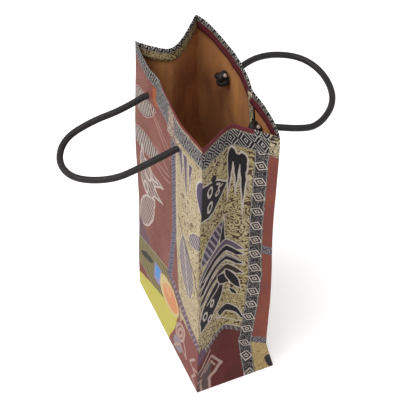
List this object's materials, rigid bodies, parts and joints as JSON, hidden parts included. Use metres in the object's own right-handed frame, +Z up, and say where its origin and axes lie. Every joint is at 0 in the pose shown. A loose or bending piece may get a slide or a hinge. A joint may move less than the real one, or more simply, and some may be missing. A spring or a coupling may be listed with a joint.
{
  "type": "gift bag",
  "caption": "Tall gusseted paper bag with a turned-in rim, stiffened flat base and knotted cord handles that swing.",
  "frame": {"origin": "centre of the bag's underside, on the surface that it stands on", "axes": "+X along the bag's width, +Y from the front panel to the back panel, +Z up to the rim"},
  "size_m": [0.158, 0.2662, 0.34],
  "materials": {
    "printed_paper": "thick handmade paper, matte, block printed outside and plain waxed brown inside",
    "base_card": "matte brown card",
    "handle_cord": "matte charcoal, smooth, slightly mottled"
  },
  "bodies": {
    "bag": {"front_panel": "printed_paper", "back_panel": "printed_paper", "left_gusset_front": "printed_paper", "left_gusset_back": "printed_paper", "right_gusset_front": "printed_paper", "right_gusset_back": "printed_paper", "base_front_flap": "printed_paper", "base_back_flap": "printed_paper", "base_left_tuck": "printed_paper", "base_right_tuck": "printed_paper", "front_rim_hem": "printed_paper", "back_rim_hem": "printed_paper", "left_gusset_hem": "printed_paper", "right_gusset_hem": "printed_paper", "side_seam_flap": "printed_paper", "base_board": "base_card", "front_left_knot": "handle_cord", "front_right_knot": "handle_cord", "back_left_knot": "handle_cord", "back_right_knot": "handle_cord"},
    "front_handle": {"front_handle_cord": "handle_cord"},
    "back_handle": {"back_handle_cord": "handle_cord"}
  },
  "joints": [
    {"name": "front_handle_swing", "type": "hinge", "parent": "bag", "child": "front_handle", "pos_m": [0, -0.04444, 0.309], "axis": [-1, 0, 0], "range_deg": [-80, 88]},
    {"name": "back_handle_swing", "type": "hinge", "parent": "bag", "child": "back_handle", "pos_m": [0, 0.0415, 0.304], "axis": [1, 0, 0], "range_deg": [-82, 88]}
  ]
}
